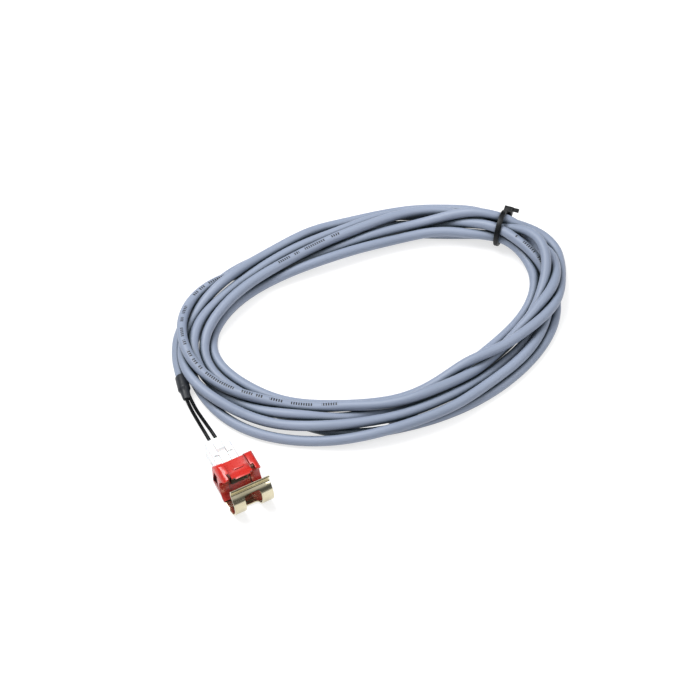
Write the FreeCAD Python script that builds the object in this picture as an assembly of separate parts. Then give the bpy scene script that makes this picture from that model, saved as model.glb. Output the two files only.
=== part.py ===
import FreeCAD, Part
import math
import os

# Clip-on pipe temperature sensor: a moulded sensor body with a sprung sheet
# metal pipe clip, a two-way plug on two cores, and a tied coil of cable.
# Millimetres.  +Z up, Z = 0 is the table.  The pipe runs along X, the plug is
# at the +Y end of the body.  Origin: bottom centre of the body with its clip.

V = FreeCAD.Vector
os.makedirs("parts", exist_ok=True)

# ---------------------------------------------------------------- dimensions
PIPE_R = 7.5            # 15 mm pipe
CLIP_RI = 7.6           # clip inside radius, 0.1 clear of the pipe
CLIP_T = 0.6            # clip sheet
CLIP_RO = CLIP_RI + CLIP_T
CLIP_W = 19.0           # clip width along the pipe
PY = -4.15              # pipe axis, Y
PZ = CLIP_RO            # pipe axis, Z (the clip's floor lies on Z = 0)
SPLIT_DEG = -75.0       # where the clip flexes
SPLIT_GAP = 1.6         # half gap at the flexing line, degrees
LIP_DEG = 62.0          # end of the clip's arc, above the pipe's front
LIP_TOP_Z = 11.2        # above the pipe axis
WIN_W = 7.9             # window in the clip's front
WIN_HI, WIN_LO = 46.0, -68.0
SEAT_R = 7.75           # moulded saddle beside the contact shoe
BODY_HALF = 10.0         # half width of the body over its cheeks
CHEEK_IN = 5.4          # inner face of the ribs on top
REAR_Y = 16.5           # rear face, behind the pipe axis
FLOOR_Z = -5.8          # underside of the body, from the pipe axis
PANEL_Z0, PANEL_Z1 = 4.75, 5.9
RIB_Z = 8.3
PITCH = 3.2             # between the two contacts
PLUG_X = -1.7           # the plug and its pins sit to one side
PLUG_HALF = 6.2         # wide part of the plug
PLUG_TOP_HALF = 5.0
PLUG_FRONT_Y = 11.5
PLUG_WIDE_REAR_Y = 26.5
PLUG_REAR_Y = 29.3
PLUG_LO, PLUG_MID, PLUG_HI = -2.6, 1.8, 3.9
PIN = 0.64
CORE_D = 1.7            # insulated core
CABLE_D = 4.8
STRAP_RI, STRAP_T, STRAP_W = 7.95, 1.0, 2.5


def pt(x, y, z):
    """A point given from the pipe axis: y rearwards, z up."""
    return V(x, y + PY, z + PZ)


def box(x0, x1, y0, y1, z0, z1):
    return Part.makeBox(x1 - x0, y1 - y0, z1 - z0, pt(x0, y0, z0))


def prism(profile, x0, x1):
    """Closed profile in (y, z) from the pipe axis, pushed from x0 to x1."""
    w = Part.makePolygon([pt(x0, y, z) for y, z in profile + [profile[0]]])
    return Part.Face(w).extrude(V(x1 - x0, 0, 0))


def wedge_sector(a0, a1, x0, x1, r=40.0):
    """Sector of the plane across the pipe between two angles, pushed in x.
    Angle 0 points to the front (-Y), 90 up."""
    n = max(3, int(abs(a1 - a0) / 20) + 2)
    pts = [pt(x0, 0, 0)]
    for i in range(n):
        a = math.radians(a0 + (a1 - a0) * i / (n - 1))
        pts.append(pt(x0, -r * math.cos(a), r * math.sin(a)))
    pts.append(pts[0])
    return Part.Face(Part.makePolygon(pts)).extrude(V(x1 - x0, 0, 0))


def cyl_x(r, x0, x1, y=0.0, z=0.0):
    return Part.makeCylinder(r, x1 - x0, pt(x0, y, z), V(1, 0, 0))


def cyl_y(r, y0, y1, x=0.0, z=0.0):
    return Part.makeCylinder(r, y1 - y0, pt(x, y0, z), V(0, 1, 0))


def fuse(items):
    s = items[0]
    for i in items[1:]:
        s = s.fuse(i)
    return s.removeSplitter()


def save(name, shape):
    bad = [] if shape.isValid() else ["INVALID"]
    shape.exportStep("parts/%s.step" % name)
    print("%-20s solids %d volume %.2f %s" % (name, len(shape.Solids), shape.Volume, " ".join(bad)))


def smooth_path(points):
    """Straight runs joined by tangent arcs; each arc takes 0.45 of the
    shorter run beside it."""
    P = [V(*p) for p in points]
    edges, radii = [], []
    cur = P[0]
    for i in range(1, len(P) - 1):
        a, b = P[i] - P[i - 1], P[i + 1] - P[i]
        la, lb = a.Length, b.Length
        a.normalize()
        b.normalize()
        turn = a.getAngle(b)
        cut = 0.45 * min(la, lb)
        r = cut / math.tan(turn / 2)
        radii.append(r)
        t0, t1 = P[i] - a * cut, P[i] + b * cut
        n = b - a
        n.normalize()
        centre = P[i] + n * math.hypot(r, cut)
        mid = centre - n * r
        edges.append(Part.LineSegment(cur, t0).toShape())
        edges.append(Part.Arc(t0, mid, t1).toShape())
        cur = t1
    edges.append(Part.LineSegment(cur, P[-1]).toShape())
    return Part.Wire(edges), radii


def tube(name, points, d):
    wire, radii = smooth_path(points)
    start = V(*points[0])
    axis = V(*points[1]) - start
    prof = Part.Wire([Part.Circle(start, axis, d / 2.0).toShape()])
    s = wire.makePipeShell([prof], True, False, 2)
    want = math.pi * d * d / 4 * wire.Length
    print("%-12s length %.1f radii %s volume ratio %.4f" % (
        name, wire.Length, [round(r, 1) for r in radii], s.Volume / want))
    return s


# ---------------------------------------------------------------- body
def arc_pts(r, a0, a1, n):
    out = []
    for i in range(n + 1):
        a = math.radians(a0 + (a1 - a0) * i / n)
        out.append((-r * math.cos(a), r * math.sin(a)))
    return out


seat_arc = arc_pts(SEAT_R, 245.5, 119.0, 18)        # from the lower tip, behind the pipe, to the top
cheek_profile = seat_arc + [
    (3.5, RIB_Z - 0.5), (4.0, RIB_Z), (9.0, RIB_Z), (11.9, 7.9), (13.1, 7.5), (14.0, 6.8), (14.8, 5.6), (15.4, 4.2), (15.9, 2.2),
    (16.2, 0.0), (16.4, -2.5), (REAR_Y, FLOOR_Z + 0.8), (REAR_Y - 0.8, FLOOR_Z),
    (6.3, FLOOR_Z), (5.6, -6.6), (5.45, -7.5), (3.4, -7.5)]
cheek = prism(cheek_profile, CHEEK_IN, BODY_HALF)
# the top outer edge slopes away from the rib
slope = Part.Face(Part.makePolygon([
    pt(7.0, 1.0, RIB_Z + 0.6), pt(7.0, 1.0, RIB_Z + 0.05), pt(8.4, 1.0, 7.6), pt(9.4, 1.0, 6.1), pt(BODY_HALF, 1.0, 3.6),
    pt(BODY_HALF + 0.6, 1.0, 3.0), pt(BODY_HALF + 0.6, 1.0, RIB_Z + 0.6), pt(7.0, 1.0, RIB_Z + 0.6)])).extrude(V(0, 18, 0))
cheek = cheek.cut(slope)
# pocket and opening in the outer wall
pocket = prism([(9.8, 4.2), (12.6, 4.2), (14.6, -4.4), (6.9, -4.4), (8.9, 0.6)], BODY_HALF - 1.5, BODY_HALF + 1)
cheek = cheek.cut(pocket)
# rounded rear corner, seen from above
corner = Part.Face(Part.makePolygon([
    pt(BODY_HALF + 0.1, 14.2, -8), pt(BODY_HALF + 0.1, 17.5, -8), pt(8.9, 17.5, -8), pt(9.25, 16.2, -8),
    pt(9.7, 15.2, -8), pt(BODY_HALF + 0.1, 14.2, -8)])).extrude(V(0, 0, 18))
cheek = cheek.cut(corner)
# the arm under the pipe is narrower than the cheek
cheek = cheek.cut(box(CHEEK_IN - 0.1, 6.0, 1.0, 5.9, -8.0, -5.0))
other = cheek.mirror(V(0, 0, 0), V(1, 0, 0))

block_profile = [(2.85, 7.7)] + arc_pts(7.85, 112.0, 148.0, 8) + [
    p for p in arc_pts(8.35, 154.0, 205.0, 8)] + [
    (5.9, -6.7), (5.9, -7.5), (11.0, -7.5), (11.6, FLOOR_Z), (REAR_Y - 0.8, FLOOR_Z),
    (REAR_Y, FLOOR_Z + 0.8), (15.0, 2.0), (14.2, PANEL_Z1), (9.5, PANEL_Z1 + 0.15), (6.5, 6.6), (3.6, 7.75)]
block = prism(block_profile, -CHEEK_IN, CHEEK_IN)
housing = fuse([block, cheek, other])
# socket for the plug, open to the rear
housing = housing.cut(box(PLUG_X - 6.4, PLUG_X + 6.4, 11.0, 18.0, -2.8, 2.0))
housing = housing.cut(box(PLUG_X - 5.2, PLUG_X + 5.2, 11.0, 18.0, 1.9, 4.15))
housing = housing.cut(box(PLUG_X - 2.2, PLUG_X + 2.2, 13.4, 15.9, 4.0, 4.85))          # latch pocket
# chamber for the sensing element, behind the contact shoe
housing = housing.cut(box(-4.15, 4.15, 6.0, 10.2, -2.7, 2.7))
# square holes for the two pins
for sx in (-1, 1):
    h = PIN / 2 + 0.03
    c = PLUG_X + sx * PITCH / 2
    housing = housing.cut(box(c - h, c + h, 10.0, 11.2, -h, h))
# slot for the clip's tang
housing = housing.cut(box(-4.6, 4.6, 8.1, 8.9, -8.0, -3.55))
# dark slots between the panel and the cheeks, at the front
for sx in (1, -1):
    a, b = (5.0, 6.7) if sx == 1 else (-6.7, -5.0)
    housing = housing.cut(box(a, b, 2.0, 6.7, 1.2, 9.0))
# lightening pocket underneath
housing = housing.cut(box(-5.6, 5.6, 12.0, 15.2, -6.5, -4.0))
# small raised bar on the panel and two shallow steps at its front corners
bar = Part.makeBox(4.6, 0.7, 1.3, pt(-2.0, 8.4, PANEL_Z1 - 0.6))
housing = housing.fuse(bar).removeSplitter()
for sx in (1, -1):
    a, b = (3.6, 5.1) if sx == 1 else (-5.1, -3.6)
    housing = housing.cut(box(a, b, 2.0, 3.9, 6.0, 8.8))
save("housing", housing)

# ---------------------------------------------------------------- pipe clip
half = CLIP_W / 2
ring = cyl_x(CLIP_RO, -half, half).cut(cyl_x(CLIP_RI, -half - 1, half + 1))
jaw = ring.common(wedge_sector(SPLIT_DEG + SPLIT_GAP, LIP_DEG, -half, half))
# lip: leaves the arc, stands up and turns out at its edge
mid = CLIP_RI + CLIP_T / 2
a = math.radians(LIP_DEG)
ey, ez = -mid * math.cos(a), mid * math.sin(a)
line = [(ey, ez), (ey - 0.12, ez + 0.75), (ey - 0.22, LIP_TOP_Z - 1.0), (ey - 0.75, LIP_TOP_Z)]


def strip(mid_line, t, x0, x1):
    """Sheet of thickness t about a polyline in (y, z)."""
    n = len(mid_line)
    nor = []
    for i in range(n):
        p = mid_line[max(0, i - 1)]
        q = mid_line[min(n - 1, i + 1)]
        dy, dz = q[0] - p[0], q[1] - p[1]
        m = math.hypot(dy, dz)
        nor.append((-dz / m, dy / m))
    up = [(mid_line[i][0] + nor[i][0] * t / 2, mid_line[i][1] + nor[i][1] * t / 2) for i in range(n)]
    dn = [(mid_line[i][0] - nor[i][0] * t / 2, mid_line[i][1] - nor[i][1] * t / 2) for i in range(n)]
    return prism(up + dn[::-1], x0, x1)


pre = math.radians(LIP_DEG - 4)
line = [(-mid * math.cos(pre), mid * math.sin(pre))] + line
jaw = fuse([jaw, strip(line, CLIP_T, -half, half)])
win = wedge_sector(WIN_LO, WIN_HI, -WIN_W / 2, WIN_W / 2, 12.0)
win_edges = [e for e in win.Edges if abs(e.Vertexes[0].X - e.Vertexes[-1].X) < 1e-6]
jaw = jaw.cut(win)
save("clip_jaw", jaw)

base = ring.common(wedge_sector(-90.0, SPLIT_DEG - SPLIT_GAP, -half, half))
base = base.fuse(box(-half, half, 0.0, 5.3, -CLIP_RO, -CLIP_RI))
base = base.fuse(box(-4.4, 4.4, 5.3, 8.0, -CLIP_RO, -CLIP_RI))
base = base.fuse(box(-4.4, 4.4, 7.9, 8.8, -CLIP_RO, -CLIP_RI))
base = base.fuse(box(-4.4, 4.4, 8.2, 8.8, -CLIP_RI, -4.0))
base = base.removeSplitter()
save("clip_base", base)

# ---------------------------------------------------------------- sensing element
shoe = cyl_x(8.0, -4.0, 4.0).cut(cyl_x(7.6, -5, 5)).common(wedge_sector(161.0, 199.0, -4.0, 4.0))
for x0 in (-4.0, 3.6):
    leg = prism([(7.75, -1.6), (7.75, 1.6), (10.0, 1.6), (10.0, -1.6)], x0, x0 + 0.4)
    shoe = shoe.fuse(leg.cut(cyl_x(7.9, -5, 5)))
shoe = shoe.removeSplitter()
save("contact_shoe", shoe)

BEAD_X = -1.3
bead = cyl_x(0.75, BEAD_X - 0.9, BEAD_X + 0.9, 9.0, 0.0)
bead = bead.makeFillet(0.35, [e for e in bead.Edges if e.Curve.TypeId == "Part::GeomCircle"])
save("thermistor_bead", bead)
leads = []
for sx in (-1, 1):
    c = PLUG_X + sx * PITCH / 2
    x0, x1 = (BEAD_X + 0.9, c) if sx == 1 else (c, BEAD_X - 0.9)
    leads.append(cyl_x(0.2, x0, x1, 9.0).fuse(cyl_y(0.2, 9.0, 10.0, c)).fuse(
        Part.makeSphere(0.2, pt(c, 9.0, 0))).removeSplitter())
save("thermistor_leads", Part.makeCompound(leads))
pins = []
for sx in (-1, 1):
    c = PLUG_X + sx * PITCH / 2
    p = box(c - PIN / 2, c + PIN / 2, 10.0, 15.4, -PIN / 2, PIN / 2)
    pins.append(p.makeChamfer(0.16, [e for e in p.Edges if all(abs(v.Y - (15.4 + PY)) < 1e-6 for v in e.Vertexes)]))
save("contact_pins", Part.makeCompound(pins))
pot = box(-3.5, 3.5, 7.6, 9.95, -2.5, 2.5).cut(cyl_x(8.04, -5, 5))
pot = pot.cut(bead)
for s in leads:
    pot = pot.cut(s)
save("potting", pot)

# ---------------------------------------------------------------- plug
ph = fuse([
    box(PLUG_X - PLUG_HALF, PLUG_X + PLUG_HALF, PLUG_FRONT_Y, PLUG_WIDE_REAR_Y, PLUG_LO, PLUG_MID),
    box(PLUG_X - PLUG_TOP_HALF, PLUG_X + PLUG_TOP_HALF, PLUG_FRONT_Y, PLUG_REAR_Y, PLUG_LO, PLUG_HI)])
ed = [e for e in ph.Edges if abs(abs(e.Vertexes[0].X - PLUG_X) - PLUG_HALF) < 1e-6
      and abs(abs(e.Vertexes[-1].X - PLUG_X) - PLUG_HALF) < 1e-6
      and abs(e.Vertexes[0].Z - e.Vertexes[-1].Z) < 1e-6 and e.Length > 10]
ph = ph.makeChamfer(0.5, ed)
for sx in (-1, 1):
    c = PLUG_X + sx * PITCH / 2
    ph = ph.cut(box(c - 1.2, c + 1.2, PLUG_FRONT_Y - 1, 25.0, -1.2, 1.2))
    ph = ph.cut(cyl_y(0.95, 24.0, PLUG_REAR_Y + 1, c))
# recess for the latch
ph = ph.cut(box(PLUG_X - 2.1, PLUG_X + 2.1, 12.3, 27.0, 1.45, 5.0))
# low step across the top, in front
ph = ph.cut(box(PLUG_X - 4.45, PLUG_X + 4.45, PLUG_FRONT_Y - 0.1, 20.6, 3.2, 5.0))
save("plug_housing", ph)

latch = box(PLUG_X - 1.9, PLUG_X + 1.9, 12.6, 26.8, 2.4, 3.2)
hook = prism([(13.7, 3.1), (15.3, 3.1), (15.3, 4.45), (14.9, 4.45)], PLUG_X - 1.6, PLUG_X + 1.6)
pad = prism([(22.0, 3.1), (26.8, 3.1), (26.8, 4.3), (23.2, 4.3)], PLUG_X - 1.9, PLUG_X + 1.9)
latch = fuse([latch, hook, pad])
for i in range(3):
    latch = latch.cut(box(PLUG_X - 2.0, PLUG_X + 2.0, 24.2 + i * 0.8, 24.5 + i * 0.8, 4.1, 5.0))
save("plug_latch", latch)

terms = []
for sx in (-1, 1):
    c = PLUG_X + sx * PITCH / 2
    t = box(c - 1.0, c + 1.0, 12.2, 18.2, -1.0, 1.0).cut(box(c - 0.36, c + 0.36, 12.0, 17.0, -0.36, 0.36))
    neck = box(c - 0.5, c + 0.5, 18.2, 20.6, -1.0, -0.7)
    barrel = cyl_y(1.1, 20.6, 23.6, c).cut(cyl_y(0.86, 20.5, 23.7, c))
    floor = box(c - 0.5, c + 0.5, 20.4, 20.8, -1.0, -0.9)
    terms.append(fuse([t, neck, floor, barrel]))
save("crimp_terminals", Part.makeCompound(terms))

# ---------------------------------------------------------------- cores and sleeve
END = (-0.46, 61.6, 3.6)            # jacket end, inside the sleeve
SLEEVE_TOP = (1.36, 69.3, 3.0)
left_route = [(-3.3, 16.6, 8.2), (-3.3, 28.2, 8.2), (-3.2, 39.8, 6.85), (-2.75, 51.2, 4.95), (-1.33, 61.2, 3.62)]
right_route = [(-0.1, 16.6, 8.2), (-0.1, 28.0, 8.2), (-0.7, 39.4, 6.8), (-0.95, 50.8, 4.9), (0.41, 61.0, 3.62)]
wl = tube("core_left", left_route, CORE_D)
wr = tube("core_right", right_route, CORE_D)
save("core_left", wl)
save("core_right", wr)

lead_route = [END, (1.05, 67.9, 3.1), (2.35, 74.0, 2.75), (4.3, 80.2, 2.42), (6.9, 86.2, 2.42)]
lead = tube("cable_lead", lead_route, CABLE_D)
save("cable_lead", lead)


def ellipse_wire(c, axis, side, ra, rb, n=24):
    axis = V(*axis)
    axis.normalize()
    side = V(*side)
    side = side - axis * side.dot(axis)
    side.normalize()
    up = axis.cross(side)
    return Part.makePolygon([V(*c) + side * (ra * math.cos(2 * math.pi * k / n)) + up * (rb * math.sin(2 * math.pi * k / n))
                             for k in range(n)] + [V(*c) + side * ra])


SX = (0.98, -0.2, 0.0)
AX = (0.19, 0.98, -0.08)
sections = [((-1.63, 55.6, 4.28), 1.95, 1.35), ((-1.42, 56.9, 4.1), 2.1, 1.5), ((-0.95, 59.3, 3.84), 2.2, 1.75),
            ((-0.66, 60.8, 3.70), 2.45, 2.2), ((-0.46, 61.7, 3.60), 2.95, 2.95), ((0.95, 67.6, 3.16), 2.95, 2.95),
            ((1.30, 69.1, 3.02), 2.86, 2.86)]
sleeve = Part.makeLoft([ellipse_wire(c, AX, SX, ra, rb) for c, ra, rb in sections], True, True)
bore = tube("sleeve bore", [(-0.48, 61.5, 3.61), (1.05, 67.9, 3.1), (1.9, 72.0, 2.85)], CABLE_D + 0.06)
sleeve = sleeve.cut(bore)
for nm, rt in (("left bore", left_route), ("right bore", right_route)):
    sleeve = sleeve.cut(tube(nm, rt[2:-1] + [tuple(rt[-1][i] + (rt[-1][i] - rt[-2][i]) * 0.15 for i in range(3))], CORE_D + 0.04))
save("sleeve", sleeve)

# ---------------------------------------------------------------- coil of cable
CX, CY = 99.4, 58.25
STATIONS = [  # degrees: inner radius, outer radius, height
    (0, 74.1, 99.9, 19.4), (10, 65.7, 97.4, 17.0), (20, 58.2, 85.3, 17.1), (30, 51.7, 81.4, 16.4),
    (40, 45.7, 78.2, 12.8), (50, 41.5, 73.6, 12.8), (60, 39.0, 68.8, 13.1), (70, 37.5, 65.4, 13.1),
    (80, 37.1, 63.5, 12.9), (90, 37.1, 62.4, 12.5), (100, 37.6, 62.7, 12.0), (110, 39.6, 66.9, 11.7),
    (120, 43.2, 74.0, 12.0), (130, 48.4, 81.3, 13.2), (140, 55.7, 88.9, 13.4), (150, 64.3, 95.6, 12.8),
    (160, 72.1, 100.5, 14.1), (170, 75.5, 100.5, 14.1), (180, 70.6, 98.3, 13.1), (190, 65.5, 95.8, 11.0),
    (200, 60.1, 93.5, 10.6), (210, 54.7, 88.8, 10.5), (220, 50.8, 83.2, 10.4), (230, 48.3, 78.3, 10.4),
    (240, 46.8, 74.7, 12.0), (250, 46.0, 71.4, 14.1), (260, 45.9, 69.1, 15.4), (270, 45.9, 68.0, 15.5),
    (280, 46.4, 69.6, 15.1), (290, 47.8, 72.4, 14.6), (300, 48.0, 75.9, 15.3), (310, 49.9, 80.4, 15.3),
    (320, 54.0, 85.1, 15.1), (330, 60.1, 88.5, 15.6), (340, 67.9, 94.0, 15.6), (350, 74.6, 99.4, 19.3)]
rings = []
for deg, ri, ro, h in STATIONS:
    a = math.radians(deg)
    w = ro - ri
    shape = [(ri + 2.0, 0.02), (ro - 2.0, 0.02), (ro, 2.4), (ro, min(5.0, h - 3)), (ro - 0.30 * w, h), (ri + 0.30 * w, h),
             (ri, min(5.0, h - 3)), (ri, 2.4)]
    rings.append([V(CX + r * math.cos(a), CY + r * math.sin(a), z) for r, z in shape])
faces = []
n = len(rings)
m = len(rings[0])
for k in range(n):
    A, B = rings[k], rings[(k + 1) % n]
    for j in range(m):
        p, q, r_, s_ = A[j], A[(j + 1) % m], B[(j + 1) % m], B[j]
        faces.append(Part.Face(Part.makePolygon([p, q, r_, p])))
        faces.append(Part.Face(Part.makePolygon([p, r_, s_, p])))
coil = Part.Solid(Part.Shell(faces))
if coil.Volume < 0:
    coil.reverse()
print("coil raw", coil.isValid(), round(coil.Volume, 1))

# cable tie round the bundle
TIE = V(176.25, 74.16, 9.05)
TDIR = V(0.68755264, -0.72613454, 0.0)
B = V(0.72613454, 0.68755264, 0.0)      # across the bundle, away from the front
collar = Part.makeCylinder(18.0, 6.3, TIE - TDIR * 2.7, TDIR).cut(
    Part.makeCylinder(STRAP_RI - 0.15, 9.0, TIE - TDIR * 4.0, TDIR))
collar = collar.fuse(Part.makeCylinder(5.0, 5.0, TIE + B * 12.6 + V(0, 0, 2.2) + TDIR * 2.0, TDIR))
coil = coil.cut(collar)
for nm, rt in (("keep clear", [(-2.2, 52.0, 4.6), (-1.42, 56.9, 4.1), (-0.66, 60.8, 3.7), (1.05, 67.9, 3.1), (1.45, 70.0, 3.0)]),):
    coil = coil.cut(tube(nm, rt, 6.6))
# pocket under the coil for the stripped end of the cable
FE = V(97.7, 3.54, 2.62)               # where the jacket stops
FM = V(92.0, 2.1, 2.3)
FT = V(86.4, 1.55, 1.7)                 # where the ferrules start
FD = V(math.cos(math.radians(173)), math.sin(math.radians(173)), -0.02)
FD.normalize()
FS = V(-FD.y, FD.x, 0)
FS.normalize()
pk = Part.makeBox(29.0, 8.4, 5.6)
pk.translate(V(-1.5, -4.2, -0.6))
PD = V(-1.0, -0.04, 0.0)
PD.normalize()
PS = V(-PD.y, PD.x, 0)
mat = FreeCAD.Matrix(PD.x, PS.x, 0, FE.x, PD.y, PS.y, 0, FE.y, 0, 0, 1, 0, 0, 0, 0, 1)
pk = pk.transformGeometry(mat)
coil = coil.cut(pk)
coil = max(coil.Solids, key=lambda s: s.Volume)
save("cable_coil", coil)

strap = Part.makeCylinder(STRAP_RI + STRAP_T, STRAP_W, TIE - TDIR * (STRAP_W / 2), TDIR).cut(
    Part.makeCylinder(STRAP_RI, STRAP_W + 1, TIE - TDIR * (STRAP_W / 2 + 0.5), TDIR))
# head of the tie at the far top side of the bundle, with its cut tail
hdir = B * 0.985 + V(0, 0, 0.17)
hdir.normalize()
hc = TIE + hdir * (STRAP_RI + STRAP_T - 0.4)
side = TDIR.cross(hdir)
head = Part.makeBox(4.4, 4.6, 3.4)
head.translate(V(-1.2, -2.3, 0.0))
mat = FreeCAD.Matrix(TDIR.x, side.x, hdir.x, hc.x, TDIR.y, side.y, hdir.y, hc.y, TDIR.z, side.z, hdir.z, hc.z, 0, 0, 0, 1)
head = head.transformGeometry(mat)
tail = Part.makeBox(5.0, 1.0, 2.0)
tail.translate(V(1.0, 0.3, 1.8))
tail = tail.transformGeometry(mat)
tie = fuse([strap, head, tail])
tie = tie.cut(Part.makeCylinder(STRAP_RI, 12, TIE - TDIR * 6, TDIR))
save("cable_tie", tie)

# ---------------------------------------------------------------- stripped end of the cable
ec, ef = [], []
for sx in (-1, 1):
    pts_c = [tuple(p + FS * (sx * off)) for p, off in ((FE, 0.9), (FM, 1.05), (FT, 1.15))]
    ec.append(tube("end core", pts_c, CORE_D))
    o = FT + FS * (sx * 1.15) + FD * 0.15
    f = Part.makeCone(1.1, 0.95, 3.0, o, FD)
    f = f.fuse(Part.makeCylinder(0.6, 8.0, o + FD * 3.0, FD)).removeSplitter()
    ef.append(f)
save("end_cores", Part.makeCompound(ec))
save("end_ferrules", Part.makeCompound(ef))
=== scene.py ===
import bpy
import bmesh
import math
from mathutils import Vector, Matrix, noise


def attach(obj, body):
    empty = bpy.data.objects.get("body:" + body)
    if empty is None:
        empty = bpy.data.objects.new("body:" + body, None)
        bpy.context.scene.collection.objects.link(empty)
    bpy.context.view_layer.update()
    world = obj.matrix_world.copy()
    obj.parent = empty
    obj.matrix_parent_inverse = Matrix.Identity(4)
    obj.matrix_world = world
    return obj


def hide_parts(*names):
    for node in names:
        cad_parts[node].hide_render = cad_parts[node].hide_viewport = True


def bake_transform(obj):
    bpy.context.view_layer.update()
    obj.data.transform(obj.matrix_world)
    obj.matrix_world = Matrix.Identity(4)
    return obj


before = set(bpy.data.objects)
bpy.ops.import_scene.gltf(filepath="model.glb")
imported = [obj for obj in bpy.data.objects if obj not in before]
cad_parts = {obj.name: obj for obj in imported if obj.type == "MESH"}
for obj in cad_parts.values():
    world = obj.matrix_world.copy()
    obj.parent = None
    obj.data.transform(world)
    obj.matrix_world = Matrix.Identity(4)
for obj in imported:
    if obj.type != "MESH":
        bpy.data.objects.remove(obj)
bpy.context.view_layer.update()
MM = 0.001
PY, PZ = -4.15, 8.2          # pipe axis in the row frame, mm


def P(x, y, z):
    """Millimetres from the pipe axis (y rearwards, z up) to the row frame in metres."""
    return Vector((x * MM, (y + PY) * MM, (z + PZ) * MM))


# ---------------------------------------------------------------- camera, floor, light
scene = bpy.context.scene
EL, YAW = math.radians(53.5), math.radians(27.7)
fwd = Vector((math.cos(EL) * math.sin(YAW), math.cos(EL) * math.cos(YAW), -math.sin(EL)))
right = Vector((math.cos(YAW), -math.sin(YAW), 0.0))
up = right.cross(fwd)
cam_data = bpy.data.cameras.new("camera")
cam_data.lens = 100.0
cam_data.sensor_width = 36.0
cam_data.clip_start = 0.01
cam_data.clip_end = 20.0
cam = bpy.data.objects.new("camera", cam_data)
scene.collection.objects.link(cam)
rot = Matrix((right, up, -fwd)).transposed().to_4x4()
cam.matrix_world = Matrix.Translation(Vector((-0.17504, -0.43618, 0.73980))) @ rot
scene.camera = cam
scene.view_settings.view_transform = "Standard"
scene.view_settings.look = "None"
scene.view_settings.exposure = 0.0
scene.view_settings.gamma = 1.0


def new_mat(name):
    m = bpy.data.materials.new(name)
    m.use_nodes = True
    nt = m.node_tree
    nt.nodes.clear()
    out = nt.nodes.new("ShaderNodeOutputMaterial")
    b = nt.nodes.new("ShaderNodeBsdfPrincipled")
    nt.links.new(b.outputs[0], out.inputs["Surface"])
    return m, nt, b


def node(nt, kind, **props):
    n = nt.nodes.new(kind)
    for k, v in props.items():
        setattr(n, k, v)
    return n


def coords(nt, which="Object"):
    return node(nt, "ShaderNodeTexCoord").outputs[which]


def noise_tex(nt, vec, scale, detail=3.0, rough=0.5, distortion=0.0):
    n = node(nt, "ShaderNodeTexNoise")
    nt.links.new(vec, n.inputs["Vector"])
    n.inputs["Scale"].default_value = scale
    n.inputs["Detail"].default_value = detail
    n.inputs["Roughness"].default_value = rough
    n.inputs["Distortion"].default_value = distortion
    return n


def ramp(nt, fac, stops, interp="LINEAR"):
    r = node(nt, "ShaderNodeValToRGB")
    r.color_ramp.interpolation = interp
    el = r.color_ramp.elements
    while len(el) < len(stops):
        el.new(0.5)
    for e, (pos, col) in zip(el, stops):
        e.position = pos
        e.color = (*col, 1.0) if len(col) == 3 else col
    nt.links.new(fac, r.inputs["Fac"])
    return r


def maprange(nt, val, a, b, c, d, clamp=True):
    m = node(nt, "ShaderNodeMapRange", clamp=clamp)
    nt.links.new(val, m.inputs["Value"])
    for key, v in (("From Min", a), ("From Max", b), ("To Min", c), ("To Max", d)):
        m.inputs[key].default_value = v
    return m.outputs["Result"]


def math_node(nt, op, a, b=None, c=None):
    m = node(nt, "ShaderNodeMath", operation=op)
    for i, v in enumerate((a, b, c)):
        if v is None:
            continue
        if isinstance(v, (int, float)):
            m.inputs[i].default_value = v
        else:
            nt.links.new(v, m.inputs[i])
    return m.outputs[0]


def mix_col(nt, fac, a, b, blend="MIX"):
    m = node(nt, "ShaderNodeMix", data_type="RGBA", blend_type=blend)
    for idx, v in ((0, fac), (6, a), (7, b)):
        if isinstance(v, (int, float)):
            m.inputs[idx].default_value = v
        elif isinstance(v, tuple):
            m.inputs[idx].default_value = (*v, 1.0) if len(v) == 3 else v
        else:
            nt.links.new(v, m.inputs[idx])
    return m.outputs[2]


def bump(nt, b, height, strength, distance, normal=None):
    n = node(nt, "ShaderNodeBump")
    n.inputs["Strength"].default_value = strength
    n.inputs["Distance"].default_value = distance
    nt.links.new(height, n.inputs["Height"])
    if normal is not None:
        nt.links.new(normal, n.inputs["Normal"])
    if b is not None:
        nt.links.new(n.outputs[0], b.inputs["Normal"])
    return n.outputs[0]


# plain pale floor
fm, fnt, fb = new_mat("floor_paper")
fb.inputs["Base Color"].default_value = (0.40, 0.40, 0.403, 1)
fb.inputs["Emission Color"].default_value = (1.0, 1.0, 1.0, 1.0)
fb.inputs["Emission Strength"].default_value = 0.68
fb.inputs["Roughness"].default_value = 0.9
fb.inputs["Specular IOR Level"].default_value = 0.1
me = bpy.data.meshes.new("floor")
R_ = 5.0
me.from_pydata([(-R_, -R_, -0.00002), (R_, -R_, -0.00002), (R_, R_, -0.00002), (-R_, R_, -0.00002)], [], [(0, 1, 2, 3)])
floor = bpy.data.objects.new("floor", me)
scene.collection.objects.link(floor)
me.materials.append(fm)

world = bpy.data.worlds.new("world")
scene.world = world
world.use_nodes = True
wnt = world.node_tree
wb = wnt.nodes["Background"]
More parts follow.
